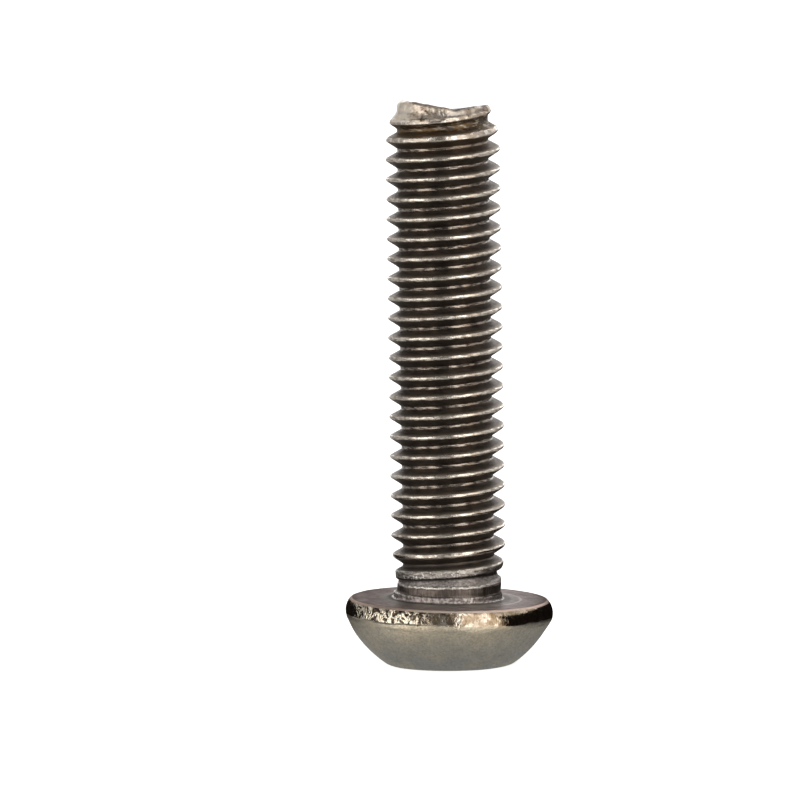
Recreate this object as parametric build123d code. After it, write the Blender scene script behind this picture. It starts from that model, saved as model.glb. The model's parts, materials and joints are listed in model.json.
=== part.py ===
from build123d import *

import math
import os

# Button head socket screw, M6 x 1 x 25 with a right-hand thread, formed as one piece.
# The origin is the centre of the bearing face under the head. +Z runs along the
# shank to its tip, so the screw stands on the flat of its head.

# ---- driving dimensions, mm ----
PITCH = 1.0
MAJOR_RADIUS = 2.90           # over the crests
MINOR_RADIUS = 2.285          # in the roots
CREST_AT_X = 0.83             # a crest crosses +X this far above each whole pitch
NECK_RADIUS = 2.64            # the blank that the thread was rolled on

RUN_OUT_LOW = 0.53            # heights above the bearing face: the root leaves the neck here
RUN_OUT_HIGH = 1.75           # and has its full depth here
SHOULDER_LOW = 0.8            # the crests swell out of the neck here
SHOULDER_HIGH = 2.9           # and have their full height here
POINT_LOW = 22.8              # the crests shrink from here to the tip
POINT_SLOPE = 0.17            # loss of radius for each mm towards the tip

LIP_LOW = 24.2                # the last crest shrinks faster from here
LIP_HIGH = 24.75              # to the lip, which is plain from here
LIP_RADIUS = 2.26
LIP_HEIGHT = 24.85            # mean height of the uneven lip round the tip
LIP_TILT = 0.2                # the lip's high side above the mean
LIP_TILT_DIRECTION = 214.0    # of the high side, degrees from +X
LIP_SADDLE = 0.16             # the lip also rises along X and falls along Y
DISH_DEPTH = 0.25             # middle of the tip, below the mean lip

HEAD_HEIGHT = 3.3
HEAD_RADIUS = 5.23
DOME_RADIUS = 5.72
DOME_CORNER = 0.15            # chamfer between the dome and the flat, along the flat
RIM_ROUND = 0.9               # section of the rim, which the dome runs into
RIM_DROP = 0.6                # widest circle of the head, below the bearing face
COLLAR_RADIUS = 3.6           # foot of the low cone round the neck
COLLAR_HEIGHT = 0.12
FOOT_RADIUS = 2.79            # low ring at the foot of the neck
FOOT_HEIGHT = 0.35
FOOT_CHAMFER = 0.08

SOCKET_ACROSS_FLATS = 4.08
SOCKET_DEPTH = 2.1            # of the flats, from the face that the head stands on
SOCKET_POINT_ANGLE = 130.0    # the cone that closes the socket
SEAT_RADIUS = 2.72            # shallow round recess that the socket opens in
SEAT_DEPTH = 0.12

# ---- worked out ----
HEAD_BASE = -HEAD_HEIGHT
STOCK_TOP = LIP_HEIGHT + 1.0  # the shank before its tip is formed
CUT_CLEARANCE = 0.2           # cutters run this far out of what they cut


def revolved(outline):
    """The solid of revolution about Z of a closed outline in the XZ plane."""
    return revolve(Plane.XZ * make_face(outline), Axis.Z)


def head():
    """The domed head, its collar and neck, and the cone on which the thread's root runs out."""
    rim_x = HEAD_RADIUS - RIM_ROUND
    # The dome's centre is on the axis. The dome and the rim touch where both centres are in line.
    dome_y = -RIM_DROP + math.sqrt((DOME_RADIUS - RIM_ROUND) ** 2 - rim_x**2)
    in_line = (Vector(rim_x, -RIM_DROP) - Vector(0, dome_y)).normalized()
    dome_meets_rim = Vector(0, dome_y) + in_line * DOME_RADIUS
    bearing_edge = Vector(rim_x + math.sqrt(RIM_ROUND**2 - RIM_DROP**2), 0)
    flat_radius = math.sqrt(DOME_RADIUS**2 - (dome_y - HEAD_BASE) ** 2) - DOME_CORNER
    dome_foot_y = dome_y - math.sqrt(DOME_RADIUS**2 - (flat_radius + 2 * DOME_CORNER) ** 2)
    dome_foot = Vector(flat_radius + 2 * DOME_CORNER, dome_foot_y)
    run_out_slope = (NECK_RADIUS - MINOR_RADIUS) / (RUN_OUT_HIGH - RUN_OUT_LOW)
    core_radius = MINOR_RADIUS - run_out_slope * CUT_CLEARANCE
    core_height = RUN_OUT_HIGH + CUT_CLEARANCE
    outline = [
        Line((0, HEAD_BASE), (flat_radius, HEAD_BASE)),
        Line((flat_radius, HEAD_BASE), dome_foot),
        RadiusArc(dome_foot, dome_meets_rim, -DOME_RADIUS),
        ThreePointArc(dome_meets_rim, (HEAD_RADIUS, -RIM_DROP), bearing_edge),
        Polyline(
            bearing_edge,
            (COLLAR_RADIUS, 0),
            (FOOT_RADIUS, COLLAR_HEIGHT),
            (FOOT_RADIUS, FOOT_HEIGHT - FOOT_CHAMFER),
            (FOOT_RADIUS - FOOT_CHAMFER, FOOT_HEIGHT),
            (NECK_RADIUS, FOOT_HEIGHT),
            (NECK_RADIUS, RUN_OUT_LOW),
            (core_radius, core_height),
            (0, core_height),
            (0, HEAD_BASE),
        ),
    ]
    return revolved(outline)


def shank_envelope():
    """The swell of the crests at the shoulder and their taper at the tip, clear of the thread between."""
    swell_slope = (MAJOR_RADIUS - NECK_RADIUS) / (SHOULDER_HIGH - SHOULDER_LOW)
    clear_radius = MAJOR_RADIUS + CUT_CLEARANCE
    corners = [
        (0, RUN_OUT_LOW),
        (NECK_RADIUS, RUN_OUT_LOW),
        (NECK_RADIUS, SHOULDER_LOW),
        (clear_radius, SHOULDER_HIGH + CUT_CLEARANCE / swell_slope),
        (clear_radius, POINT_LOW - CUT_CLEARANCE / POINT_SLOPE),
        (MAJOR_RADIUS - POINT_SLOPE * (LIP_LOW - POINT_LOW), LIP_LOW),
        (LIP_RADIUS, LIP_HIGH),
        (LIP_RADIUS, STOCK_TOP),
        (0, STOCK_TOP),
    ]
    return revolved(Polyline(corners, close=True))


def threaded_bar():
    """The threaded core, longer than the shank at both ends.

    In each turn its flanks are ruled between the helix of the roots and the helix of the crests.
    Each end is closed by a ramp, one turn from the axis to the root, and by the step it leaves.
    """
    bottom = CREST_AT_X - 2.5 * PITCH
    turns = math.ceil((STOCK_TOP - bottom) / PITCH) + 1

    def helix(radius, height):
        return Helix(PITCH, PITCH, radius, center=(0, 0, height)).edge()

    root = helix(MINOR_RADIUS, bottom)
    crest = helix(MAJOR_RADIUS, bottom + PITCH / 2)
    next_root = helix(MINOR_RADIUS, bottom + PITCH)
    upper_flank = Face.make_surface_from_curves(root, crest)
    lower_flank = Face.make_surface_from_curves(crest, next_root)
    axis = Line((0, 0, bottom), (0, 0, bottom + PITCH)).edge()
    ramp = Face.make_surface_from_curves(axis, root)
    section = Polyline(
        (0, bottom),
        (MINOR_RADIUS, bottom),
        (MAJOR_RADIUS, bottom + PITCH / 2),
        (MINOR_RADIUS, bottom + PITCH),
        (0, bottom + PITCH),
        close=True,
    )
    step = (Plane.XZ * make_face(section)).face()
    faces = [Pos(0, 0, i * PITCH) * flank for i in range(turns) for flank in (upper_flank, lower_flank)]
    faces += [Pos(0, 0, height) * cap for height in (0, turns * PITCH) for cap in (ramp, step)]
    return Solid(Shell(faces))


def beyond_tip():
    """Everything past the dished, uneven end of the shank."""
    reach = MAJOR_RADIUS + CUT_CLEARANCE
    tilt = math.radians(LIP_TILT_DIRECTION)
    middle = LIP_HEIGHT - DISH_DEPTH

    def heights(slope, curve):
        """Control heights over -reach, 0 and reach of slope * x + curve * x * x."""
        ends = curve * reach**2
        return [ends - slope * reach, -ends, ends + slope * reach]

    along_x = heights(LIP_TILT * math.cos(tilt) / LIP_RADIUS, (DISH_DEPTH + LIP_SADDLE) / LIP_RADIUS**2)
    along_y = heights(LIP_TILT * math.sin(tilt) / LIP_RADIUS, (DISH_DEPTH - LIP_SADDLE) / LIP_RADIUS**2)
    places = (-reach, 0, reach)
    net = [[Vector(x, y, middle + a + b) for y, b in zip(places, along_y)] for x, a in zip(places, along_x)]
    return extrude(Face.make_bezier_surface(net), STOCK_TOP, dir=(0, 0, 1))


def socket():
    """The hexagonal socket with its conical bottom, and the round seat it opens in."""
    wall_top = HEAD_BASE + SOCKET_DEPTH
    point = SOCKET_ACROSS_FLATS / 2 / math.tan(math.radians(SOCKET_POINT_ANGLE / 2))
    corner_radius = SOCKET_ACROSS_FLATS / math.sqrt(3)
    mouth = HEAD_BASE - CUT_CLEARANCE
    hexagon = RegularPolygon(corner_radius, 6, rotation=30)
    prism = extrude(Plane.XY.offset(mouth) * hexagon, SOCKET_DEPTH + point + CUT_CLEARANCE)
    wide = SOCKET_ACROSS_FLATS
    spread = wide - SOCKET_ACROSS_FLATS / 2
    slope = point / (SOCKET_ACROSS_FLATS / 2)
    wide_top = wall_top - spread * slope
    bit = revolved(Polyline((0, mouth), (wide, mouth), (wide, wide_top), (0, wall_top + point), close=True))
    seat = Pos(0, 0, mouth) * extrude(Circle(SEAT_RADIUS), SEAT_DEPTH + CUT_CLEARANCE)
    return (prism & bit) + seat


def screw():
    shank = (threaded_bar() & shank_envelope()) - beyond_tip()
    return head() + shank - socket()


os.makedirs("parts", exist_ok=True)
part = screw()
export_step(part, "parts/screw.step")
print("volume", round(part.volume, 2), "mm3, box", part.bounding_box())
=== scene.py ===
"""Button head socket screw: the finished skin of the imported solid, its studio and its camera."""
import json
import math

import bpy
from mathutils import Matrix, Vector, noise


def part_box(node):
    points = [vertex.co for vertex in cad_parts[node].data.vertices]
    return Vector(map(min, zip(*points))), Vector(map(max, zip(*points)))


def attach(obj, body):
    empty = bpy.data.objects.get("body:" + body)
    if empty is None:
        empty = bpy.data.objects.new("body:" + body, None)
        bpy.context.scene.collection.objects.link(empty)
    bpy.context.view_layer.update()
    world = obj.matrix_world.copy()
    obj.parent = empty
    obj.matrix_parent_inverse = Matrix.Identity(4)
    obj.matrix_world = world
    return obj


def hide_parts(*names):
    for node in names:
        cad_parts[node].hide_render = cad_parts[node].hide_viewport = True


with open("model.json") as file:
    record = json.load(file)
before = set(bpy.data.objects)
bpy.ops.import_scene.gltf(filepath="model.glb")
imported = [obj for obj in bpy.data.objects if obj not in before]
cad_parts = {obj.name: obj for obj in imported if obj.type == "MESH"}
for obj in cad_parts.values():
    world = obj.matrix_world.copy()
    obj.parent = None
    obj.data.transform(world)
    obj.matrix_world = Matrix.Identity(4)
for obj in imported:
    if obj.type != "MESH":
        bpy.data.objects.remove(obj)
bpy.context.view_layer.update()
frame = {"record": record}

MM = 0.001                    # in metres

# ---- sizes in mm, from the frame where it holds them ----
screw_low, screw_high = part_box("screw")
mounts = {mount["name"]: mount for mount in frame["record"]["mounts"]}

PITCH = 1.0
MAJOR_RADIUS = mounts["thread"]["dims"]["r_mm"]
MINOR_RADIUS = 2.285
FLANK_SLOPE = math.sqrt(3)    # radius that a 60 degree thread loses for each mm away from a crest
CREST_FLAT = PITCH / 8
CREST_AT_X = 0.77             # a crest crosses +X this far above each whole pitch
CREST_WEAR = 0.012            # worn off the crests
CREST_ROUND = 0.05            # width over which a crest's edges are rounded
ROOT_ABOVE = 0.45             # height of a root above the crest under it
ROOT_ROUND = 0.055            # width over which a root's corners are rounded
NECK_RADIUS = 2.64
RUN_OUT_LOW = 0.84            # the rolled groove leaves the neck here with a small step
RUN_OUT_STEP = 0.06           # which is this deep
RUN_OUT_EDGE = 0.04           # and this high
RUN_OUT_HIGH = 1.75           # the groove has its full depth here
RUN_OUT_ROUND = 0.03          # width over which it runs into the roots
SHOULDER_LOW = 0.8            # the crests swell out of the neck here
SHOULDER_HIGH = 2.9           # and have their full height here
SHOULDER_ROUND = 0.02         # with the corner rounded over this width
BLUNT_LOW = 1.5               # crests up to here are broad and blunt, and steep on their lower side
BLUNT_HIGH = 1.9              # and from here they have their full form
BLUNT_FLAT = 0.07             # added to half the flat of a blunt crest
POINT_LOW = 22.7              # the crest line curves in towards the tip from here
POINT_ROUND = 4.3             # with this radius
LAST_CREST = 23               # number of the last whole crest, counted from the neck
LAST_SLOPE = 0.75             # of the gentle flank above it, which leads in to the lip
NECK_TURNS = -0.2             # the neck's finish ends this many turns past the first crest
TIP_TURNS = -0.12             # and the tip's starts this many turns past the last one
TIP_LOW = 23.5                # and above this height

LIP_RADIUS = 2.3
LIP_HEIGHT = 25.08            # mean height of the uneven lip round the tip
LIP_TILT = 0.30               # the lip's high side above the mean
LIP_TILT_DIRECTION = math.radians(234.0)
LIP_SADDLE = 0.16             # the lip also rises along X and falls along Y
LIP_ROUND = 0.26              # radius of the round over the lip
LIP_WEAR = 0.03               # unevenness of the lip
DISH_DEPTH = 0.28             # middle of the tip, below the mean lip
DISH_WEAR = 0.012
# Where the lip stands up or is pinched: middle and width in degrees from +X, and by how much.
LIP_FOLDS = [(240, 20, 0.04), (290, 24, -0.19), (68, 32, -0.22), (352, 20, -0.15)]
# Where the round over the lip is wider, in the same way, and by what share.
LIP_SWELLS = [(190, 35, 0.8), (345, 28, 0.2)]

HEAD_BASE = screw_low[2] / MM
HEAD_RADIUS = screw_high[0] / MM
DOME_RADIUS = 5.72
DOME_CORNER = 0.62            # round between the dome and the flat that the screw stands on
RIM_ROUND = 0.9               # section of the rim, which the dome runs into
RIM_DROP = 0.65               # widest circle of the head, below the bearing face
RIM_EDGE = 8                  # degrees of the rim's round that are cut off by the bearing face's edge
COLLAR_RADIUS = 3.6           # foot of the low cone round the neck
COLLAR_HEIGHT = 0.05
FOOT_RADIUS = 2.79            # low ring at the foot of the neck
FOOT_HEIGHT = 0.35
FOOT_ROUND = 0.08             # section of the ring's corners
FOOT_BORDER = 0.12            # the cone ends this far outside the ring
FOOT_SHIFT = 0.13             # how far the ring is moved in at +X
RIM_LEAN = math.tan(math.radians(1.7))     # the rim's plane, against square to the shank
HEAD_LEAN = math.tan(math.radians(0.45))   # the rest of the head; the screw stands on its low side
LEAN_CHANGE = (-1.7, -0.8)    # heights over which the one lean turns into the other
LEAN_FADE = 0.6               # height above the foot over which the lean dies out
POLISH_BORDER = -0.76         # height that divides the polished rim from the satin dome
CREASES_START = (-76, -60)    # degrees round from the front, over which the rim's creases set in
CREASES_END = (-26, -2)       # and over which they die out
SOCKET_FLAT = 4.08 / 2        # from the axis
SOCKET_DEPTH = mounts["hex_socket"]["dims"]["length_mm"]
SOCKET_SLOPE = 1 / math.tan(math.radians(65.0))
MOUTH_EDGE = 0.04             # the socket's mouth is broken over this width
MOUTH_BORDER = 0.1            # width of the hexagonal border round it
SEAT_RADIUS = 2.72
SEAT_DEPTH = 0.12
SEAT_EDGE = 0.03              # the seat's corners are broken by this much,
SEAT_EDGE_OUT = 0.04          # and the outer one by this much along the flat
STANDING_RADIUS = 2.9         # edge of the flat that the screw stands on
FLOOR_HEIGHT = HEAD_BASE - HEAD_LEAN * STANDING_RADIUS

# ---- mesh density ----
COLUMNS = 160                 # round the shank; the head has twice as many
LIP_STEPS = 6                 # up the round over the lip
ROW_GAP = 0.02                # rows of the thread nearer than this to its ends join them
# Rows of one turn of the thread, as distances from the crest in pitches.
TURN_ROWS = [0.0, 0.04, 0.075, 0.14, 0.22, 0.30, 0.36, 0.41, 0.49, 0.54, 0.61, 0.71, 0.81, 0.90, 0.955]
# Rows of the dish, the socket's cone and walls, and the seat, as shares of their width or height.
DISH_ROWS = [0.96, 0.9, 0.8, 0.68, 0.55, 0.4, 0.25, 0.1]
CONE_ROWS = [0.06, 0.2, 0.4, 0.6, 0.8, 0.94, 0.985]
WALL_ROWS = [0.0, 0.02, 0.08, 0.25, 0.5, 0.75, 0.9, 0.97]
SEAT_ROWS = [0.4, 0.8, 1.0]


# ---- small maths ----

def smooth(start, end, value):
    """0 up to the start and 1 from the end on, with a smooth change between; either may be larger."""
    t = min(1.0, max(0.0, (value - start) / (end - start)))
    return t * t * (3 - 2 * t)


def rounded_max(a, b, width):
    """The larger of two values, with the corner between them rounded over a width."""
    return (a + b + math.sqrt((a - b) ** 2 + width * width)) / 2


def rounded_min(a, b, width):
    return -rounded_max(-a, -b, width)


def lumps(x, y, z, size, seed):
    """Soft noise from about -1 to 1 with lumps of a size in mm."""
    return noise.noise(Vector((x / size + seed, y / size - seed, z / size + 3 * seed))) * 1.6


def humps(angle, stretches):
    """Sum of soft humps round the screw, each by its middle and width in degrees and its height."""
    side = math.degrees(angle)
    total = 0.0
    for middle, width, height in stretches:
        away = (side - middle + 180) % 360 - 180
        total += height * math.exp(-((away / width) ** 2))
    return total


def polar(radius, angle, z):
    """The point at a distance from the axis, an angle from +X and a height."""
    return (radius * math.cos(angle), radius * math.sin(angle), z)


# ---- form of the shank ----

def crest_line(z):
    """Radius over the crests at a height."""
    swell = NECK_RADIUS + (MAJOR_RADIUS - NECK_RADIUS) * (z - SHOULDER_LOW) / (SHOULDER_HIGH - SHOULDER_LOW)
    point = MAJOR_RADIUS - max(0.0, z - POINT_LOW) ** 2 / (2 * POINT_ROUND)
    return min(rounded_min(max(swell, NECK_RADIUS), MAJOR_RADIUS, SHOULDER_ROUND), point)


def root_line(z):
    """Radius in the roots at a height."""
    step = NECK_RADIUS - RUN_OUT_STEP * smooth(RUN_OUT_LOW, RUN_OUT_LOW + RUN_OUT_EDGE, z)
    depth = NECK_RADIUS - RUN_OUT_STEP - MINOR_RADIUS
    run_out = step - depth * max(0.0, z - RUN_OUT_LOW) / (RUN_OUT_HIGH - RUN_OUT_LOW)
    return rounded_max(MINOR_RADIUS, run_out, RUN_OUT_ROUND)


def turns_up(angle, z):
    """Turns of the thread up to a place on the shank, whole on the crests."""
    return (z - CREST_AT_X) / PITCH - angle / math.tau


def turns_at(point):
    """Turns of the thread up to a point."""
    return turns_up(math.atan2(point[1], point[0]) % math.tau, point[2])


def nearest_crest(turns):
    """Number of the crest whose flank a place lies on: a root divides one crest from the next."""
    return math.floor(turns + 1 - ROOT_ABOVE / PITCH)


def last_slope(angle):
    """Slope of the flank above the last crest, which is steeper on the side towards +X."""
    share = angle / math.tau
    return LAST_SLOPE + smooth(0.7, 0.95, share) + smooth(0.35, 0.2, share)


def bead(turns):
    """How far the last crest shrinks to a round bead, by the turns past where it starts at +X."""
    return 0.3 * smooth(0.62, 0.95, turns) + smooth(1.0, 1.12, turns)


def thread_wear(angle, z):
    """Unevenness of the thread, with more of it at both ends."""
    x, y, _ = polar(MAJOR_RADIUS, angle, z)
    ends = smooth(SHOULDER_HIGH, SHOULDER_LOW, z) + smooth(POINT_LOW, POINT_LOW + 1, z)
    everywhere = 0.010 * lumps(x, y, z, 0.9, 4.0) + 0.006 * lumps(x, y, z, 0.3, 9.0)
    return everywhere + ends * 0.02 * lumps(x, y, z, 0.45, 1.0)


def shank_radius(angle, z):
    """Radius of the rolled thread at an angle from +X and a height."""
    turns = turns_up(angle, z)
    crest = nearest_crest(turns)
    above_crest = turns > crest
    # The flanks are drawn as if each root lay midway between its crests, then stretched to it.
    to_root = ROOT_ABOVE if above_crest else PITCH - ROOT_ABOVE
    from_crest = abs(turns - crest) * PITCH * (PITCH / 2) / to_root
    blunt = smooth(BLUNT_HIGH, BLUNT_LOW, z - (turns - crest) * PITCH)
    flat = CREST_FLAT / 2 + BLUNT_FLAT * blunt
    slope = FLANK_SLOPE * (1 + blunt * (turns < crest))
    top = MAJOR_RADIUS
    if crest == LAST_CREST and above_crest:
        # The thread is not rolled full here, and slopes in to the lip.
        slope = last_slope(angle)
        top = crest_line(z - from_crest + CREST_FLAT)
    flank = top - (from_crest - flat) * slope - bead(crest - LAST_CREST + angle / math.tau)
    groove = rounded_max(flank, root_line(z), ROOT_ROUND - 0.015 * blunt)
    return rounded_min(groove, crest_line(z) - CREST_WEAR + thread_wear(angle, z), CREST_ROUND)


def end_height(x, y):
    """Height of the dished, uneven end of the shank."""
    tilt = LIP_TILT * (x * math.cos(LIP_TILT_DIRECTION) + y * math.sin(LIP_TILT_DIRECTION)) / LIP_RADIUS
    bow = ((DISH_DEPTH + LIP_SADDLE) * x * x + (DISH_DEPTH - LIP_SADDLE) * y * y) / LIP_RADIUS**2
    fold = humps(math.atan2(y, x), LIP_FOLDS)
    return LIP_HEIGHT - DISH_DEPTH + tilt + bow + fold * (math.hypot(x, y) / LIP_RADIUS) ** 2


def lip_round(angle):
    """Radius of the round over the lip, wider at its high corner and at the end of its fold."""
    return LIP_ROUND * (1 + humps(angle, LIP_SWELLS))


def lip_foot(angle):
    """Height at which the thread ends and the round over the lip starts."""
    z = LIP_HEIGHT
    # Each depends on the other, and a few rounds settle both.
    for _ in range(6):
        radius = shank_radius(angle, z)
        z = end_height(radius * math.cos(angle), radius * math.sin(angle)) - lip_round(angle)
    return z


def shank_zone(point):
    """The neck lies below the first crest, and the tip above the last one."""
    turns = turns_at(point)
    if turns < NECK_TURNS:
        return "neck"
    return "tip" if point[2] > TIP_LOW and turns > LAST_CREST + TIP_TURNS else "thread"


# ---- the skin ----

class Skin:
    """Rings of vertices round the axis, joined into one closed surface."""

    def __init__(self):
        self.points = []
        self.faces = []
        self.zones = []

    def point(self, place):
        """Adds a point and gives its number."""
        self.points.append(place)
        return len(self.points) - 1

    def ring(self, columns, place):
        """Adds points round the axis, each placed by its angle, and gives their numbers."""
        return [self.point(place(math.tau * column / columns)) for column in range(columns)]

    def face(self, corners, zone):
        """Adds a face, merging corners that are one point."""
        corners = [c for i, c in enumerate(corners) if c != corners[i - 1]]
        if len(set(corners)) > 2:
            self.faces.append(corners)
            self.zones.append(zone)

    def join(self, lower, upper, zone):
        """Faces between two rings; the upper ring may have half as many points."""
        columns = len(upper)
        step = len(lower) // columns
        for column in range(columns):
            following = (column + 1) % columns
            across = [lower[(column * step + k) % len(lower)] for k in range(step + 1)]
            if step == 1:
                self.face([across[0], across[1], upper[following], upper[column]], zone)
            else:
                self.face([across[0], across[1], upper[column]], zone)
                self.face([across[1], across[2], upper[following], upper[column]], zone)

    def grow(self, last, columns, place, zone):
        """Adds a ring, joins it to the last one and gives it."""
        following = self.ring(columns, place)
        self.join(last, following, zone)
        return following

    def close(self, ring, middle, zone, upwards):
        """Closes a ring with a fan of triangles round a point."""
        hub = self.point(middle)
        for column, start in enumerate(ring):
            end = ring[(column + 1) % len(ring)]
            self.face([start, end, hub] if upwards else [end, start, hub], zone)


def thread(skin, first_ring, bottom):
    """The threaded length. Its rows follow the helix, from a level ring up to the uneven lip."""
    def end_place(angle):
        z = lip_foot(angle)
        return polar(shank_radius(angle, z), angle, z)

    last_ring = skin.ring(COLUMNS, end_place)
    tops = [skin.points[i][2] for i in last_ring]
    turns = math.ceil((max(tops) - bottom) / PITCH) + 2
    start = CREST_AT_X - PITCH * (math.ceil((CREST_AT_X - bottom) / PITCH) + 1)
    rows = [start + PITCH * (turn + part) for turn in range(turns + 1) for part in TURN_ROWS]

    columns = []
    for column, top in enumerate(tops):
        angle = math.tau * column / COLUMNS
        stack = []
        for row in rows:
            z = row + PITCH * angle / math.tau
            if z <= bottom + ROW_GAP:
                stack.append(first_ring[column])
            elif z >= top - ROW_GAP:
                stack.append(last_ring[column])
            else:
                stack.append(skin.point(polar(shank_radius(angle, z), angle, z)))
        columns.append(stack)
    # Going round once climbs one turn, so the last column meets the first one turn up.
    columns.append(columns[0][len(TURN_ROWS):] + [last_ring[0]] * len(TURN_ROWS))
    for left, right in zip(columns, columns[1:]):
        for row in range(len(rows) - 1):
            corners = [left[row], right[row], right[row + 1], left[row + 1]]
            skin.face(corners, shank_zone(skin.points[left[row]]))
    return last_ring


def tip(skin, ring):
    """The rounded lip and the dished end."""
    def lip_place(turned):
        def place(angle):
            x, y, _ = skin.points[ring[round(angle / math.tau * COLUMNS)]]
            radius = math.hypot(x, y) - lip_round(angle) * (1 - math.cos(turned))
            level = end_height(radius * math.cos(angle), radius * math.sin(angle))
            z = level - lip_round(angle) * (1 - math.sin(turned))
            rough = LIP_WEAR * lumps(x, y, z, 0.45, 2.0) * math.sin(turned)
            return polar(radius + rough, angle, z + rough)
        return place

    def dish_place(share, rim):
        def place(angle):
            x, y, z = rim[round(angle / math.tau * COLUMNS)]
            rim_lift = z - end_height(x, y)
            level = end_height(x * share, y * share) + rim_lift * share**3
            return (x * share, y * share, level + DISH_WEAR * lumps(x * share, y * share, 0, 0.4, 7.0))
        return place

    last = ring
    for step in range(1, LIP_STEPS + 1):
        last = skin.grow(last, COLUMNS, lip_place(math.radians(90 * step / LIP_STEPS)), "tip")
    rim = [skin.points[i] for i in last]
    for share in DISH_ROWS:
        last = skin.grow(last, COLUMNS, dish_place(share, rim), "tip")
    skin.close(last, (0, 0, end_height(0, 0)), "tip", upwards=True)


# ---- form of the head ----

def arc(centre, radius, start, end, steps):
    """Points (radius, z) along an arc, angles in degrees from straight out."""
    points = []
    for step in range(steps + 1):
        angle = math.radians(start + (end - start) * step / steps)
        points.append((centre[0] + radius * math.cos(angle), centre[1] + radius * math.sin(angle)))
    return points


def line(start, end, steps):
    """Evenly spaced points from a start to an end."""
    return [tuple(a + (b - a) * step / steps for a, b in zip(start, end)) for step in range(steps + 1)]


def head_outline():
    """(zone, points) pieces of the head's section, from the seat of the socket up to the neck."""
    rim_x = HEAD_RADIUS - RIM_ROUND
    # The dome's centre is on the axis. The dome and the rim touch where both centres are in line.
    dome_z = -RIM_DROP + math.sqrt((DOME_RADIUS - RIM_ROUND) ** 2 - rim_x**2)
    touch = math.degrees(math.atan2(-RIM_DROP - dome_z, rim_x))
    # The round between the dome and the flat touches both.
    corner_z = HEAD_BASE + DOME_CORNER
    corner_x = math.sqrt((DOME_RADIUS - DOME_CORNER) ** 2 - (dome_z - corner_z) ** 2)
    corner_touch = math.degrees(math.atan2(corner_z - dome_z, corner_x))
    bearing_touch = math.degrees(math.asin(RIM_DROP / RIM_ROUND))
    bearing_edge = (rim_x + RIM_ROUND * math.cos(math.radians(bearing_touch)), 0.0)
    foot_low = (FOOT_RADIUS + FOOT_ROUND, COLLAR_HEIGHT + FOOT_ROUND)
    foot_high = (FOOT_RADIUS - FOOT_ROUND, FOOT_HEIGHT - FOOT_ROUND)
    return [
        ("seat", line((SEAT_RADIUS + SEAT_EDGE_OUT, HEAD_BASE), (corner_x, HEAD_BASE), 2)),
        ("dome", arc((corner_x, corner_z), DOME_CORNER, -90, corner_touch, 5)),
        ("dome", arc((0, dome_z), DOME_RADIUS, corner_touch, touch, 24)),
        ("rim", arc((rim_x, -RIM_DROP), RIM_ROUND, touch, bearing_touch - RIM_EDGE, 22)),
        ("bearing", line(bearing_edge, (COLLAR_RADIUS, 0), 10)),
        ("bearing", line((COLLAR_RADIUS, 0), (FOOT_RADIUS + FOOT_BORDER, COLLAR_HEIGHT), 5)),
        ("foot", arc(foot_low, FOOT_ROUND, 270, 180, 2)),
        ("foot", arc(foot_high, FOOT_ROUND, 0, 90, 5)),
        ("neck", line((NECK_RADIUS + 0.01, FOOT_HEIGHT + 0.01), (NECK_RADIUS, FOOT_HEIGHT + 0.05), 1)),
    ]


def head_relief(zone, angle, radius, z):
    """How far the skin of the head stands out: faint dents."""
    x, y, _ = polar(radius, angle, z)
    if zone == "rim":
        return 0.0025 * lumps(x, y, z, 0.3, 7.0) + 0.012 * lumps(x, y, z, 1.8, 8.0)
    if zone == "dome":
        return 0.008 * lumps(x, y, z, 1.5, 6.0)
    if zone == "bearing":
        return 0.006 * lumps(x, y, z, 0.8, 6.5)
    if zone in ("foot", "neck"):
        return 0.02 * lumps(x, y, z, 0.35, 2.5)
    return 0.0


def foot_shift(zone, angle, radius):
    """Moves the ring at the foot of the neck in, so that it stands out towards -X only."""
    if zone not in ("foot", "bearing"):
        return 0.0
    share = smooth(COLLAR_RADIUS, FOOT_RADIUS + FOOT_BORDER, radius) * (1 + math.cos(angle)) / 2
    return -share * min(FOOT_SHIFT, radius - NECK_RADIUS)


def lean(point):
    """The head's small departure from square, none of it above the neck."""
    x, y, z = point
    fade = smooth(FOOT_HEIGHT + LEAN_FADE, FOOT_HEIGHT, z)
    slope = HEAD_LEAN + (RIM_LEAN - HEAD_LEAN) * smooth(*LEAN_CHANGE, z)
    return (x, y, z - slope * x * fade)


def hexagon_radius(angle):
    """Distance from the axis to the sides of the socket."""
    from_flat = (angle + math.pi / 6) % (math.pi / 3) - math.pi / 6
    return SOCKET_FLAT / math.cos(from_flat)


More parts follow.
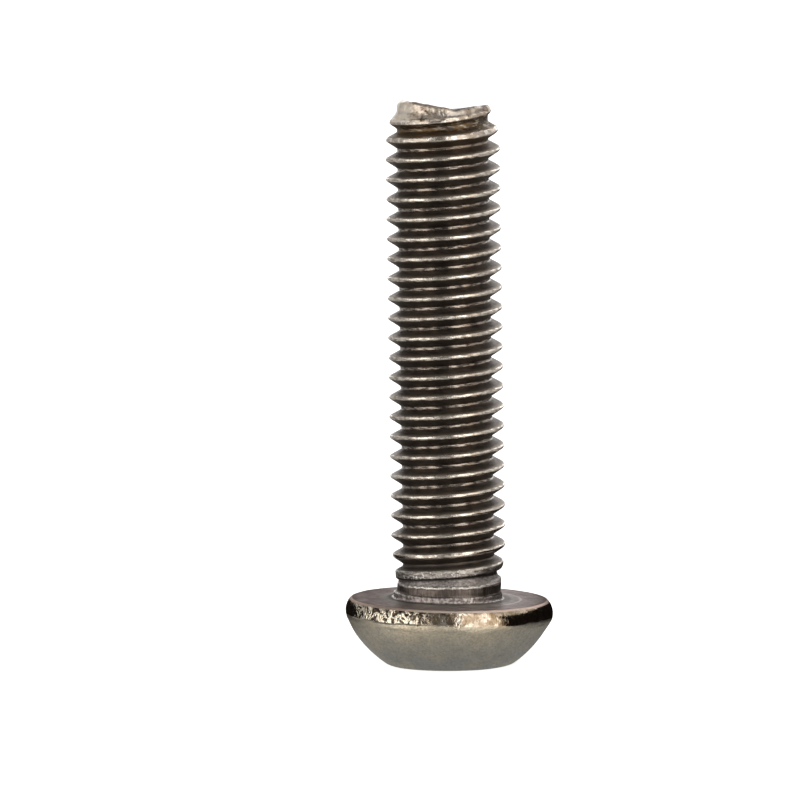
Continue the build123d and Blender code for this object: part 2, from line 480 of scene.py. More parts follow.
def socket(skin):
    """The socket from its conical bottom out to the edge of its round seat; gives the last ring."""
    wall_top = HEAD_BASE + SOCKET_DEPTH
    seat = HEAD_BASE + SEAT_DEPTH
    columns = 2 * COLUMNS

    def cone(radius):
        return wall_top + (SOCKET_FLAT - radius) * SOCKET_SLOPE

    def cone_place(share):
        return lambda angle: polar(hexagon_radius(angle) * share, angle, cone(hexagon_radius(angle) * share))

    def wall_place(share):
        def place(angle):
            radius = hexagon_radius(angle)
            return polar(radius, angle, cone(radius) + (seat - cone(radius)) * share)
        return place

    def mouth_place(out):
        return lambda angle: polar(hexagon_radius(angle) + out, angle, seat + max(0.0, MOUTH_EDGE - out) / 2)

    def seat_place(share):
        def place(angle):
            inner = hexagon_radius(angle) + MOUTH_BORDER
            return polar(inner * (1 - share) + (SEAT_RADIUS - SEAT_EDGE) * share, angle, seat)
        return place

    last = skin.ring(columns, cone_place(CONE_ROWS[0]))
    skin.close(last, (0, 0, cone(0)), "socket", upwards=False)
    for share in CONE_ROWS[1:]:
        last = skin.grow(last, columns, cone_place(share), "socket")
    for share in WALL_ROWS:
        last = skin.grow(last, columns, wall_place(share), "socket")
    for out in (0.015, MOUTH_EDGE, MOUTH_BORDER):
        last = skin.grow(last, columns, mouth_place(out), "seat")
    for share in SEAT_ROWS:
        last = skin.grow(last, columns, seat_place(share), "seat")
    for z in (seat - SEAT_EDGE, HEAD_BASE + SEAT_EDGE):
        last = skin.grow(last, columns, lambda angle: polar(SEAT_RADIUS, angle, z), "seat")
    return last


def head(skin, last):
    """The head outside the socket, up to the foot of the neck."""
    previous = (SEAT_RADIUS, HEAD_BASE)
    for zone, points in head_outline():
        for radius, z in points:
            run = (radius - previous[0], z - previous[1])
            length = math.hypot(*run)
            if length < 0.001:    # a point that two pieces share
                continue
            out = (run[1] / length, -run[0] / length)

            def place(angle):
                relief = head_relief(zone, angle, radius, z)
                shifted = radius + foot_shift(zone, angle, radius)
                return polar(shifted + out[0] * relief, angle, z + out[1] * relief)

            last = skin.grow(last, 2 * COLUMNS, place, zone)
            previous = (radius, z)
    return last


def build_screw():
    """The whole skin, from the socket up to the tip."""
    skin = Skin()
    last = head(skin, socket(skin))
    # Two rings on the neck, the upper one with the shank's columns.
    start = FOOT_HEIGHT + 0.08
    bottom = start + 0.05
    for z, columns in ((start, 2 * COLUMNS), (bottom, COLUMNS)):
        last = skin.grow(last, columns, lambda angle: polar(shank_radius(angle, z), angle, z), "neck")
    tip(skin, thread(skin, last, bottom))
    return skin


# ---- what the steels read at each point ----

def polish(point):
    """1 on the rim that the die polished, 0 on the satin dome, with an uneven border."""
    x, y, z = point
    if z > 0.01:
        return 0.0
    border = POLISH_BORDER + 0.05 * lumps(x, y, 0, 0.9, 11.0) + 0.03 * lumps(x, y, 0, 0.25, 12.0)
    return smooth(border - 0.05, border + 0.03, z)


def creased(point):
    """1 on the stretch of the rim that the forging creased, 0 on its smooth rest."""
    from_front = math.degrees(math.atan2(point[1], point[0])) % 360 - 270
    stretch = smooth(*CREASES_START, from_front) * (1 - smooth(*CREASES_END, from_front))
    return stretch * polish(point)


def below_crest(point):
    """How far the skin lies under the thread's crest line, in mm."""
    return crest_line(point[2]) - math.hypot(point[0], point[1]) if point[2] > FOOT_HEIGHT else 0.0


def faces_head(point):
    """1 on the thread's flanks that face the head, 0 on those that face the tip."""
    turns = turns_at(point)
    return 1.0 if turns < nearest_crest(turns) else 0.0


def under_first(point):
    """1 along the corner a fifth of a turn below the first crest, fading within a tenth of a turn; it marks
    where a shadow is painted.
    """
    turns = turns_at(point)
    return smooth(-0.29, -0.2, turns) * smooth(-0.09, -0.19, turns)


def placed(name, data):
    """A new object in the scene."""
    item = bpy.data.objects.new(name, data)
    bpy.context.scene.collection.objects.link(item)
    return item


def make_object(skin, materials):
    names = list(materials)
    mesh = bpy.data.meshes.new("screw_skin")
    mesh.from_pydata([tuple(c * MM for c in lean(p)) for p in skin.points], [], skin.faces)
    for name in names:
        mesh.materials.append(materials[name])
    for polygon, zone in zip(mesh.polygons, skin.zones):
        polygon.material_index = names.index("rim" if zone == "dome" else zone)
        polygon.use_smooth = True
    for measure in (polish, creased, below_crest, faces_head, under_first):
        values = mesh.attributes.new(measure.__name__, "FLOAT", "POINT")
        values.data.foreach_set("value", [measure(point) for point in skin.points])
    mesh.validate()
    return placed("screw_skin", mesh)


# ---- materials ----

class Nodes:
    """A node tree, with short names for the nodes used here."""

    def __init__(self, tree):
        self.nodes = tree.nodes
        self.links = tree.links

    def feed(self, socket_in, value):
        """Links the output of a node to an input, or sets the input to a plain value."""
        if isinstance(value, bpy.types.NodeSocket):
            self.links.new(value, socket_in)
        else:
            socket_in.default_value = value

    def calculate(self, operation, *values):
        node = self.nodes.new("ShaderNodeMath")
        node.operation = operation
        for socket_in, value in zip(node.inputs, values):
            self.feed(socket_in, value)
        return node.outputs[0]

    def product(self, *values):
        total = values[0]
        for value in values[1:]:
            total = self.calculate("MULTIPLY", total, value)
        return total

    def inverse(self, share):
        """1 where a share is 0, and 0 where it is 1."""
        return self.calculate("SUBTRACT", 1.0, share)

    def distance(self, value, place):
        """How far a value is from a place, to either side."""
        return self.calculate("ABSOLUTE", self.calculate("SUBTRACT", value, place))

    def weighted(self, *parts):
        """Sum of (value, weight) pairs."""
        total = 0.0
        for value, weight in parts:
            total = self.calculate("MULTIPLY_ADD", value, weight, total)
        return total

    def spread(self, value, low, high, start=0.35, end=0.65, kind="LINEAR"):
        """A value between start and end, where most noise lies, carried over to low and high."""
        node = self.nodes.new("ShaderNodeMapRange")
        node.interpolation_type = kind
        for name, number in (("From Min", start), ("From Max", end), ("To Min", low), ("To Max", high)):
            self.feed(node.inputs[name], number)
        self.feed(node.inputs["Value"], value)
        return node.outputs["Result"]

    def brighter(self, colour, times):
        """A colour times a number."""
        node = self.nodes.new("ShaderNodeVectorMath")
        node.operation = "SCALE"
        self.feed(node.inputs[0], colour)
        self.feed(node.inputs["Scale"], times)
        return node.outputs[0]


class Steel(Nodes):
    """A metal's nodes: its noises, its places on the screw and its blends of colours."""

    def __init__(self, name):
        self.material = bpy.data.materials.new(name)
        self.material.use_nodes = True
        super().__init__(self.material.node_tree)
        self.shader = self.nodes["Principled BSDF"]
        self.place = self.nodes.new("ShaderNodeTexCoord").outputs["Object"]

    def lumpy(self, size, detail=3.0, stretch=(1, 1, 1), bend=0.0):
        """Noise with lumps of a size in mm, stretched along the axes or bent about."""
        mapping = self.nodes.new("ShaderNodeMapping")
        mapping.inputs["Scale"].default_value = [1 / (size * MM * along) for along in stretch]
        self.feed(mapping.inputs["Vector"], self.place)
        texture = self.nodes.new("ShaderNodeTexNoise")
        texture.inputs["Scale"].default_value = 1.0
        texture.inputs["Detail"].default_value = detail
        texture.inputs["Distortion"].default_value = bend
        self.feed(texture.inputs["Vector"], mapping.outputs[0])
        return texture.outputs["Fac"]

    def blend(self, first, second, share):
        """The first colour turned into the second by a share."""
        node = self.nodes.new("ShaderNodeMix")
        node.data_type = "RGBA"
        node.clamp_factor = True
        for name, value in (("A", first), ("B", second)):
            socket_in = next(i for i in node.inputs if i.name == name and i.type == "RGBA")
            self.feed(socket_in, (*value, 1) if isinstance(value, tuple) else value)
        self.feed(node.inputs[0], share)
        return next(o for o in node.outputs if o.type == "RGBA")

    def measured(self, name):
        """A value that the skin's builder stored at each of its points."""
        node = self.nodes.new("ShaderNodeAttribute")
        node.attribute_name = name
        return node.outputs["Fac"]

    def along(self, axis):
        """Distance from the origin along an axis, in mm: X is 0, Y is 1 and Z is 2."""
        split = self.nodes.new("ShaderNodeSeparateXYZ")
        self.feed(split.inputs[0], self.place)
        return self.calculate("DIVIDE", split.outputs[axis], MM)

    def across(self):
        """Distance from the axis towards +X, in mm."""
        return self.along(0)

    def height(self):
        """Height above the bearing face, in mm."""
        return self.along(2)

    def from_axis(self):
        """Distance from the screw's axis, in mm."""
        squares = [self.calculate("POWER", self.along(axis), 2.0) for axis in (0, 1)]
        return self.calculate("SQRT", self.calculate("ADD", *squares))

    def finish(self, colour, roughness, relief, depth):
        """Wires up the metal; depth is how deep its relief is, in mm."""
        self.feed(self.shader.inputs["Metallic"], 1.0)
        self.feed(self.shader.inputs["Base Color"], colour)
        self.feed(self.shader.inputs["Roughness"], roughness)
        bump = self.nodes.new("ShaderNodeBump")
        self.feed(bump.inputs["Distance"], depth * MM)
        self.feed(bump.inputs["Height"], relief)
        self.feed(self.shader.inputs["Normal"], bump.outputs[0])
        return self.material


# Spans in mm over which a finish, or a painted light or shade, changes. Heights on the shank:
GROOVE_SHADOW_DEEPENS = (1.24, 1.34)
DULL_FADES = (1.3, 2.2)
STAINS_RISE = (22.6, 23.6)
BLOTCHES_RISE = (22.8, 23.3)
UPPER_FLANK_LIGHT_FADES = (22.9, 23.9)
FLANKS_DARKEN = (23.2, 24.0)
STREAKS_RISE = (23.75, 24.0)
# distances under the crest line:
UPPER_FLANK_LIGHT_ENDS = (0.08, 0.26)
ROOT_STARTS = (0.56, 0.60)
# radii on the bearing face:
FOOT_SHADE = (3.05, 3.2)
EDGE_SHADE = (4.70, 4.84)
EDGE_HIGHLIGHT = (4.88, 4.93)
# and on the head, heights, places along X, and distances to both sides of the axis.
DOME_LIT_WARMER = (-2.6, -0.7)
RIM_SHADE_TOWARDS_X = (2.0, 2.6)
DOME_SHADED_GREYER = (2.4, 4.6)

# Painted shadow in the corner under the first crest.
PAINTED_GROOVE_SHADOW = (0.02, 0.018, 0.017)


def thread_steel():
    """Bright, worn crests over matt flanks that the rolling left dark, with painted light on the flanks that
    face the tip and painted shade on those that face the head.

    The first turn is dull and grey. The last ones are stained, with blotches on their crest and
    light streaks in the groove under the lip.
    """
    steel = Steel("thread_steel")
    height = steel.height()
    below = steel.measured("below_crest")
    faces_head = steel.measured("faces_head")
    coarse = steel.lumpy(0.7, 4)
    fine = steel.lumpy(0.10, 5)
    smears = steel.lumpy(0.09, 4, stretch=(4.5, 4.5, 1))
    stripes = steel.lumpy(0.2, 3, stretch=(4, 4, 0.5))
    smeared = steel.spread(smears, 0, 1, 0.40, 0.60)

    # A crest is worn down to an uneven line, a little lower on the dull first turn.
    dull = steel.spread(height, 1, 0, *DULL_FADES)
    worn_to = steel.weighted((steel.spread(smears, 0.065, 0.022), 1.0), (dull, 0.02))
    worn = steel.spread(below, 1, 0, worn_to, steel.calculate("ADD", worn_to, 0.035))
    root = steel.spread(below, 0, 1, *ROOT_STARTS)

    flank = steel.blend((0.14, 0.117, 0.102), (0.23, 0.191, 0.16), steel.spread(coarse, 0, 1))
    flank = steel.blend(flank, (0.05, 0.041, 0.036), steel.spread(stripes, 0, 0.6, 0.45, 0.7))
    # Painted shade: the flanks that face the head, under each crest, are darker.
    flank = steel.brighter(flank, steel.spread(faces_head, 0.86, 0.68, 0, 1))
    flank = steel.brighter(flank, steel.spread(height, 1.0, 0.55, *FLANKS_DARKEN))
    # Painted light: the flanks that face the tip are lighter near the crest, fading out towards the lip.
    scuffs_and_painted_light = steel.product(
        steel.inverse(faces_head),
        steel.spread(height, 1, 0, *UPPER_FLANK_LIGHT_FADES),
        steel.spread(below, 0.85, 0, *UPPER_FLANK_LIGHT_ENDS),
    )
    flank = steel.blend(flank, (0.37, 0.33, 0.285), scuffs_and_painted_light)

    crest = steel.blend((0.86, 0.80, 0.72), (0.34, 0.29, 0.25), steel.spread(smears, 0, 1, 0.40, 0.66))
    crest = steel.blend(crest, (0.22, 0.18, 0.15), steel.spread(fine, 0, 0.6, 0.54, 0.68))
    blotches = steel.spread(steel.lumpy(0.3, 3), 0, 1, 0.54, 0.62)
    blotched = steel.blend((0.50, 0.44, 0.38), (1.0, 0.97, 0.92), blotches)
    crest = steel.blend(crest, blotched, steel.spread(height, 0, 0.8, *BLOTCHES_RISE))

    colour = steel.blend(flank, steel.blend((0.36, 0.31, 0.27), (0.06, 0.05, 0.045), smeared), root)
    colour = steel.blend(colour, crest, worn)

    grey = steel.blend((0.38, 0.36, 0.345), (0.12, 0.11, 0.105), smeared)
    grey = steel.blend(grey, (0.95, 0.93, 0.91), steel.spread(fine, 0, 1, 0.57, 0.64))
    grey = steel.blend((0.095, 0.085, 0.078), grey, worn)
    colour = steel.blend(colour, grey, dull)
    # Painted shadow in the corner under the first crest.
    colour = steel.blend(colour, PAINTED_GROOVE_SHADOW, steel.measured("under_first"))

    stained = steel.product(
        steel.spread(height, 0, 1, *STAINS_RISE),
        steel.spread(stripes, 0, 0.6, 0.40, 0.60),
        steel.spread(worn, 1.0, 0.1, 0, 1),
    )
    colour = steel.blend(colour, (0.22, 0.14, 0.062), stained)
    streaked = steel.product(
        steel.spread(height, 0, 0.9, *STREAKS_RISE),
        steel.spread(smears, 0, 1, 0.52, 0.60),
        steel.inverse(worn),
    )
    colour = steel.blend(colour, (0.42, 0.37, 0.31), streaked)

    smoother = steel.calculate("MAXIMUM", worn, root)
    rough = steel.weighted(
        (steel.product(steel.spread(smears, 0.18, 0.34), smoother), 1.0),
        (steel.product(steel.spread(fine, 0.42, 0.55), steel.inverse(smoother)), 1.0),
        (dull, 0.22),
    )
    relief = steel.weighted((fine, 0.2), (smears, 0.25), (stripes, 0.2), (steel.product(fine, dull), 1.2))
    return steel.finish(colour, rough, relief, 0.045)


def tip_steel():
    """Warm and smooth, with brown patches and spots.

    It is paler towards -X and browner towards +X, and grey over the top of the lip.
    """
    steel = Steel("tip_steel")
    across = steel.across()
    spots = steel.lumpy(0.14, 2)
    patches = steel.lumpy(0.42, 2.5)
    blush = steel.lumpy(0.35, 3)
    colour = steel.blend((0.80, 0.72, 0.62), (0.42, 0.34, 0.27), steel.spread(patches, 0, 1, 0.44, 0.60))
    colour = steel.blend(colour, (0.66, 0.50, 0.43), steel.spread(blush, 0, 0.5, 0.52, 0.66))
    spotted = steel.product(
        steel.spread(spots, 0, 0.9, 0.54, 0.64),
        steel.spread(patches, 0.25, 1, 0.45, 0.6),
    )
    colour = steel.blend(colour, (0.07, 0.045, 0.03), spotted)
    colour = steel.brighter(colour, steel.spread(across, 1.22, 0.95, -1.9, -1.0))
    colour = steel.blend(colour, (0.88, 0.81, 0.72), steel.spread(across, 0.6, 0, -2.0, -1.2))
    colour = steel.blend(colour, (0.30, 0.235, 0.19), steel.spread(across, 0, 0.75, 1.6, 2.2))
    over_lip = steel.spread(steel.measured("below_crest"), 0, 0.8, 0.09, 0.17)
    colour = steel.blend(colour, (0.27, 0.26, 0.265), over_lip)
    relief = steel.weighted((spots, 0.6), (patches, 1.0))
    return steel.finish(colour, steel.spread(patches, 0.28, 0.42), relief, 0.06)


def neck_steel():
    """Dark with streaks up the plain neck, then a torn bright edge and a scuffed grey groove, with a painted
    shadow along its top under the first crest.
    """
    steel = Steel("neck_steel")
    height = steel.height()
    streaks = steel.lumpy(0.08, 4, stretch=(1, 1, 6))
    patches = steel.lumpy(0.5, 3)
    scuffs = steel.lumpy(0.08, 5, stretch=(2, 2, 1))
    scuffs_and_painted_light = steel.spread(scuffs, 0, 1)
    colour = steel.blend((0.08, 0.068, 0.062), (0.21, 0.175, 0.155), steel.spread(streaks, 0, 1, 0.3, 0.7))
    colour = steel.blend(colour, (0.26, 0.22, 0.205), steel.spread(patches, 0, 0.5, 0.5, 0.7))

    # The noise lifts the height by about 0.16 mm, so the edge wavers round the run-out's start.
    waver = steel.weighted((height, 1.0), (scuffs, 0.18), (patches, 0.16))
    edge = RUN_OUT_LOW + 0.16
    above = steel.spread(waver, 0, 1, edge, edge + 0.03)
    torn = steel.spread(steel.distance(waver, edge), 1, 0, 0.035, 0.09)
    groove = steel.blend((0.17, 0.155, 0.15), (0.36, 0.33, 0.32), scuffs_and_painted_light)
    # Painted shadow: the groove turns almost black towards the first crest.
    groove = steel.blend(groove, (0.05, 0.045, 0.04), steel.spread(height, 0, 1, *GROOVE_SHADOW_DEEPENS))
    colour = steel.blend(colour, groove, above)
    colour = steel.blend(colour, steel.blend((0.95, 0.92, 0.88), (0.42, 0.38, 0.35), scuffs_and_painted_light), torn)
    # Painted shadow in the corner under the first crest.
    colour = steel.blend(colour, PAINTED_GROOVE_SHADOW, steel.measured("under_first"))
    relief = steel.weighted((streaks, 0.35), (torn, 0.5), (steel.product(scuffs, above), 0.6))
    return steel.finish(colour, steel.spread(patches, 0.36, 0.50), relief, 0.05)


def bearing_steel():
    """Satin mauve-grey, greyer on the collar, painted lighter in front, with painted shade round the foot
    and inside the edge, and the collar's thin ring and the pale edge as painted highlights.
    """
    steel = Steel("bearing_steel")
    across = steel.across()
    radius = steel.from_axis()
    grain = steel.lumpy(0.10, 4)
    patches = steel.lumpy(0.8, 4)
    scuffs = steel.lumpy(0.3, 4, stretch=(1.6, 1.0, 1.0))
    patched = steel.spread(patches, 0, 1)
    rings = steel.calculate("SINE", steel.calculate("MULTIPLY", radius, 11.0))
    colour = steel.blend((0.47, 0.415, 0.40), (0.36, 0.315, 0.305), patched)
    colour = steel.blend(colour, (0.30, 0.26, 0.25), steel.spread(rings, 0, 0.4, 0.3, 1.0))
    colour = steel.blend(colour, (0.20, 0.165, 0.16), steel.spread(scuffs, 0, 0.6, 0.53, 0.66))
    colour = steel.blend(colour, (0.68, 0.63, 0.61), steel.spread(scuffs, 0.5, 0, 0.34, 0.45))

    collar = steel.blend((0.50, 0.50, 0.47), (0.36, 0.34, 0.33), patched)
    colour = steel.blend(colour, collar, steel.spread(radius, 1, 0, COLLAR_RADIUS - 0.1, COLLAR_RADIUS))
    # A painted highlight on the collar's edge, shown towards +X only.
    from_ring = steel.weighted((steel.distance(radius, COLLAR_RADIUS), 1.0), (patches, 0.15))
    ring = steel.product(steel.spread(from_ring, 0.9, 0, 0.10, 0.17), steel.spread(across, 0, 1, 0.8, 2.8))
    colour = steel.blend(colour, (0.78, 0.72, 0.70), ring)

    colour = steel.blend(colour, (0.10, 0.09, 0.085), steel.spread(radius, 0.6, 0, *FOOT_SHADE))
    colour = steel.blend(colour, (0.12, 0.10, 0.095), steel.spread(radius, 0, 0.5, *EDGE_SHADE))
    # Painted highlight along the face's outer edge.
    colour = steel.blend(colour, (0.85, 0.68, 0.60), steel.spread(radius, 0, 1, *EDGE_HIGHLIGHT))
    # Painted light: the face is lighter in front of the axis and darker towards its sides. The tint of its
    # reflections grows paler towards +X.
    colour = steel.brighter(colour, steel.spread(steel.distance(across, 0.0), 1.3, 0.85, 1.5, 3.5))
    sheen = steel.blend((0.30, 0.275, 0.265), (0.60, 0.56, 0.54), steel.spread(across, 0, 1, -4.0, 3.0))
    steel.feed(steel.shader.inputs["Specular Tint"], sheen)
    relief = steel.weighted((grain, 1.0), (rings, 0.10))
    return steel.finish(colour, steel.spread(grain, 0.36, 0.55), relief, 0.015)


def foot_steel():
    """Scuffed light grey with small bright and dark pits."""
    steel = Steel("foot_steel")
    pits = steel.lumpy(0.16, 5)
    patches = steel.lumpy(0.6, 3)
    colour = steel.blend((0.62, 0.58, 0.55), (0.16, 0.14, 0.14), steel.spread(pits, 0, 1, 0.40, 0.62))
    colour = steel.blend(colour, (0.40, 0.34, 0.34), steel.spread(patches, 0, 0.6))
    return steel.finish(colour, steel.spread(pits, 0.30, 0.50), pits, 0.07)


def head_steel():
    """A rim that the die polished, creased on one stretch with painted shade and highlights in the creases
    and painted shade towards +X, above a fine-grained satin dome painted warmer towards the rim and greyer
    below and at its sides.
    """
    steel = Steel("head_steel")
    polished = steel.measured("polish")
    satin = steel.inverse(polished)
    creases = steel.measured("creased")
    across = steel.across()
    speckles = steel.lumpy(0.11, 4)
    patches = steel.lumpy(0.6, 4)
    grain = steel.lumpy(0.12, 6)
    mottle = steel.lumpy(0.5, 2, bend=0.8)
    streaks = steel.lumpy(0.14, 3, stretch=(1, 1, 1.6), bend=0.6)
    wrinkles = steel.weighted((steel.lumpy(0.40, 2, stretch=(1, 1, 1.2), bend=1.6), 1.0), (patches, 0.30))

    rim = steel.blend((0.98, 0.89, 0.77), (0.46, 0.38, 0.30), steel.spread(patches, 0, 1, 0.40, 0.62))
    rim = steel.blend(rim, (0.34, 0.255, 0.17), steel.spread(mottle, 0, 0.9, 0.48, 0.55))
    rim = steel.blend(rim, (0.20, 0.13, 0.09), steel.spread(speckles, 0, 0.7, 0.58, 0.70))
    rim = steel.blend(rim, (0.16, 0.12, 0.09), steel.spread(streaks, 0, 0.6, 0.56, 0.70))
    # Painted shade: the rim is darker and browner towards +X.
    rim = steel.blend(rim, (0.40, 0.33, 0.22), steel.spread(across, 0, 0.5, *RIM_SHADE_TOWARDS_X))
    # Painted shade in the hollows of the creases and painted highlights on their ridges.
    crease_shade_and_glints = steel.blend((0.05, 0.035, 0.022), (1.0, 0.92, 0.76), steel.spread(wrinkles, 0, 1, 0.605, 0.66))
    rim = steel.blend(rim, crease_shade_and_glints, steel.product(creases, 0.9))

    broad = steel.lumpy(1.4, 2)
    specks = steel.lumpy(0.13, 1)
    # Painted light: the dome is warmer and lighter towards the rim, and greyer lower down and towards its
    # sides.
    warm = steel.spread(steel.height(), 0, 1, *DOME_LIT_WARMER)
    grey = steel.spread(steel.distance(across, 0.0), 0, 0.45, *DOME_SHADED_GREYER)
    dome = steel.blend((0.43, 0.425, 0.405), (0.80, 0.69, 0.52), warm)
    dome = steel.blend(dome, (0.40, 0.41, 0.405), grey)
    dome = steel.blend(dome, (0.35, 0.34, 0.30), steel.spread(patches, 0, 0.45))
    dome = steel.blend(dome, (0.66, 0.55, 0.40), steel.spread(broad, 0, 0.35, 0.50, 0.64))
    dome = steel.blend(dome, (0.22, 0.13, 0.07), steel.spread(specks, 0, 0.6, 0.70, 0.78))
    dome = steel.blend(dome, (0.30, 0.28, 0.245), steel.spread(grain, 0, 0.5, 0.40, 0.66))

    colour = steel.blend(dome, rim, polished)
    rough = steel.weighted(
        (steel.product(steel.spread(patches, 0.09, 0.18), polished), 1.0),
        (steel.product(steel.spread(grain, 0.38, 0.52), satin), 1.0),
    )
    relief = steel.weighted(
        (steel.product(wrinkles, creases), 2.4),
        (steel.product(streaks, polished), 0.3),
        (steel.product(grain, satin), 0.4),
    )
    return steel.finish(colour, rough, relief, 0.06)


def seat_steel():
    """Light beige-grey round the socket."""
    steel = Steel("seat_steel")
    grain = steel.lumpy(0.12, 3)
    colour = steel.blend((0.56, 0.52, 0.45), (0.40, 0.36, 0.31), steel.spread(grain, 0, 1))
    return steel.finish(colour, steel.spread(grain, 0.32, 0.45), grain, 0.01)


def socket_steel():
    """Dark, with the streaks that the punch drew."""
    steel = Steel("socket_steel")
    streaks = steel.lumpy(0.12, 4, stretch=(1, 1, 6))
    patches = steel.lumpy(0.6, 4)
    colour = steel.blend((0.10, 0.075, 0.06), (0.30, 0.24, 0.20), steel.spread(streaks, 0, 1))
    return steel.finish(colour, steel.spread(patches, 0.30, 0.50), streaks, 0.02)


STEELS = {
    "thread": thread_steel(),
    "tip": tip_steel(),
    "neck": neck_steel(),
    "foot": foot_steel(),
    "bearing": bearing_steel(),
    "rim": head_steel(),
    "seat": seat_steel(),
    "socket": socket_steel(),
}


# ---- studio ----

# What the metal sees on each side: azimuth from the camera to the right and elevation, both in
# degrees, then colour and strength.
CARDS = [
    ("wall on the left", (-172, -80), (-16, 44), (1.0, 0.97, 0.93), 0.52),
    ("left softbox", (-80, -27), (-35, 44), (1.0, 0.96, 0.90), 1.6),
    ("room in front", (-27, 13), (-35, 50), (1.0, 0.97, 0.93), 0.15),
    ("right strip", (13, 50), (-35, 60), (1.0, 0.97, 0.92), 1.95),
    ("warm wall", (50, 70), (-35, 60), (1.0, 0.84, 0.68), 1.05),
    ("window on the right", (70, 134), (-16, 60), (1.0, 0.97, 0.93), 0.72),
    ("window behind right", (134, 152), (0, 60), (1.0, 0.98, 0.96), 1.7),
    ("back wall", (150, 198), (-3, 34), (0.97, 0.98, 1.0), 1.45),
    ("ceiling", (-180, 180), (60, 90), (1.0, 0.98, 0.95), 0.3),
    ("floor", (-180, 180), (-90, -18), (0.97, 0.97, 0.93), 0.44),
]
# Dark screens close to the head, as its neighbours were: their sides as seen from the axis, in
# the same degrees, and the heights of their tops at those sides, in mm.
SCREENS = [((44, 150), (2.5, 2.6)), ((-140, -82), (1.5, 1.5))]
SCREEN_RADIUS = 9.0
SCREEN_FACES = 12
DIM = (0.018, 0.016, 0.015)   # the studio between its cards
CARD_EDGE = 4.0               # degrees over which a card's edge fades


def studio():
    """A world that is white to the camera and lights the screw with the cards."""
    world = bpy.data.worlds.new("studio")
    bpy.context.scene.world = world
    world.use_nodes = True
    world.node_tree.nodes.clear()
    tree = Nodes(world.node_tree)

    split = tree.nodes.new("ShaderNodeSeparateXYZ")
    tree.feed(split.inputs[0], tree.nodes.new("ShaderNodeTexCoord").outputs["Generated"])
    x, y, z = split.outputs
    azimuth = tree.calculate("DEGREES", tree.calculate("ARCTAN2", x, tree.calculate("MULTIPLY", y, -1)))
    elevation = tree.calculate("DEGREES", tree.calculate("ARCSINE", z))

    def window(value, low, high):
        """1 inside a span of degrees, fading over its edges."""
        half = (high - low) / 2
        away = tree.distance(value, (low + high) / 2)
        return tree.spread(away, 0, 1, half + CARD_EDGE / 2, half - CARD_EDGE / 2, kind="SMOOTHSTEP")

    def sideways(left, right):
        """1 between two azimuths, which may lie across the back."""
        if right - left >= 360:
            return 1.0
        if right > 180:
            return window(tree.calculate("FLOORED_MODULO", azimuth, 360), left, right)
        return window(azimuth, left, right)

    dim = tree.nodes.new("ShaderNodeCombineXYZ")
    for channel, value in zip(dim.inputs, DIM):
        channel.default_value = value
    total = dim.outputs[0]
    for _, sides, (low, high), colour, strength in CARDS:
        # A card that reaches straight down has no edge there.
        upright = window(elevation, low - (CARD_EDGE if low <= -90 else 0), high)
        amount = tree.product(upright, sideways(*sides), strength)
        together = tree.nodes.new("ShaderNodeVectorMath")
        together.operation = "ADD"
        tree.feed(together.inputs[0], total)
        tree.feed(together.inputs[1], tree.brighter(colour, amount))
        total = together.outputs[0]

    seen = tree.nodes.new("ShaderNodeBackground")
    seen.inputs["Color"].default_value = (1, 1, 1, 1)
    lit = tree.nodes.new("ShaderNodeBackground")
    tree.feed(lit.inputs["Color"], total)
    either = tree.nodes.new("ShaderNodeMixShader")
    tree.feed(either.inputs["Fac"], tree.nodes.new("ShaderNodeLightPath").outputs["Is Camera Ray"])
    tree.feed(either.inputs[1], lit.outputs[0])
    tree.feed(either.inputs[2], seen.outputs[0])
    tree.feed(tree.nodes.new("ShaderNodeOutputWorld").inputs["Surface"], either.outputs[0])


def plain_paint(name, colour):
    """A matt paint; gives its material and its shader."""
    material = bpy.data.materials.new(name)
    material.use_nodes = True
    shader = material.node_tree.nodes["Principled BSDF"]
    shader.inputs["Base Color"].default_value = (*colour, 1)
    shader.inputs["Roughness"].default_value = 1.0
    shader.inputs["Specular IOR Level"].default_value = 0.0
    return material, shader


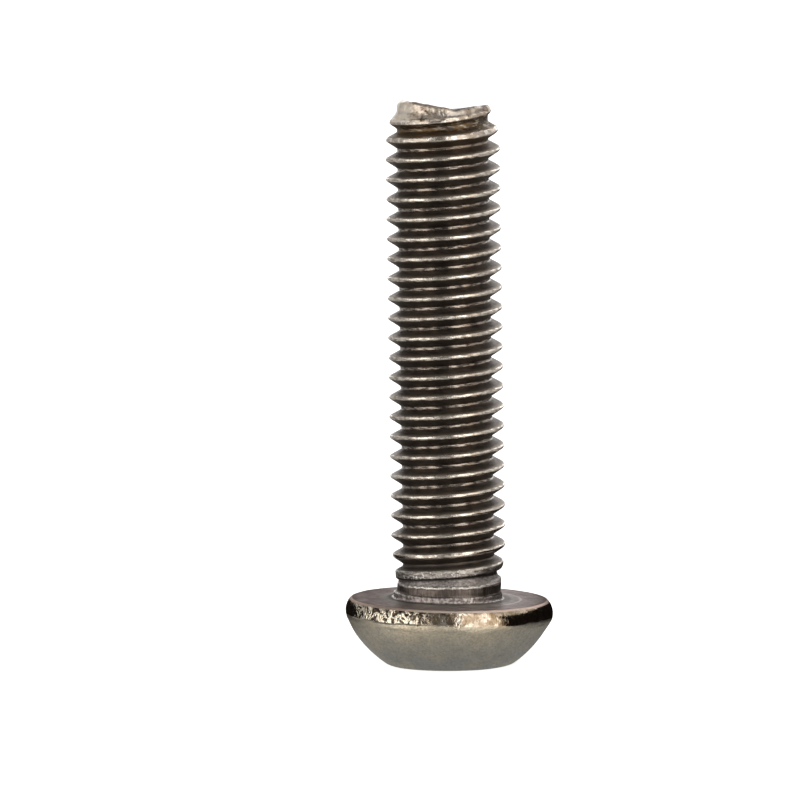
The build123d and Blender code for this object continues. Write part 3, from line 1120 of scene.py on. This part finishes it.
def floor():
    """White paper. The metal doesn't reflect it: one of the cards stands for it there."""
    reach = 3.0                   # metres each way
    z = FLOOR_HEIGHT * MM
    mesh = bpy.data.meshes.new("floor")
    corners = [(-reach, -reach, z), (reach, -reach, z), (reach, reach, z), (-reach, reach, z)]
    mesh.from_pydata(corners, [], [(0, 1, 2, 3)])
    material, shader = plain_paint("floor_paper", (0.9, 0.9, 0.9))
    shader.inputs["Emission Color"].default_value = (1, 1, 1, 1)
    shader.inputs["Emission Strength"].default_value = 0.8
    mesh.materials.append(material)
    ground = placed("floor", mesh)
    ground.visible_glossy = False


def screens():
    """Curved screens round the head that only its reflections show."""
    material, _ = plain_paint("screen_black", (0.012, 0.010, 0.009))
    for number, (sides, tops) in enumerate(SCREENS):
        points = []
        for side, top in line((sides[0], tops[0]), (sides[1], tops[1]), SCREEN_FACES):
            x, y, _ = polar(SCREEN_RADIUS, math.radians(side - 90), 0)
            points += [(x * MM, y * MM, FLOOR_HEIGHT * MM), (x * MM, y * MM, top * MM)]
        faces = [(i, i + 2, i + 3, i + 1) for i in range(0, len(points) - 2, 2)]
        mesh = bpy.data.meshes.new(f"screen_{number}")
        mesh.from_pydata(points, [], faces)
        mesh.materials.append(material)
        screen = placed(f"screen_{number}", mesh)
        screen.visible_camera = False
        screen.visible_diffuse = False


def camera():
    """Long lens, a little above the screw, rolled as the photographer held it."""
    distance = 600.0               # mm, as the rest
    elevation = math.radians(6.2)  # seen from the middle of the screw
    mid_height = 12.5
    field = 40.26                  # across the frame at the screw
    aim = Vector((-2.335, 0, 10.1))
    roll = math.radians(0.85)
    data = bpy.data.cameras.new("camera")
    data.sensor_width = 36.0
    data.lens = 36.0 * distance / field
    data.clip_start = 0.01
    data.clip_end = 20.0
    eye = Vector((0, -distance * math.cos(elevation), mid_height + distance * math.sin(elevation)))
    turn = (aim - eye).to_track_quat("-Z", "Y").to_matrix().to_4x4()
    view = placed("camera", data)
    view.matrix_world = Matrix.Translation(eye * MM) @ turn @ Matrix.Rotation(-roll, 4, "Z")
    bpy.context.scene.camera = view


screw = make_object(build_screw(), STEELS)
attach(screw, "root")
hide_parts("screw")
floor()
screens()
studio()
camera()
bpy.context.scene.view_settings.view_transform = "Standard"
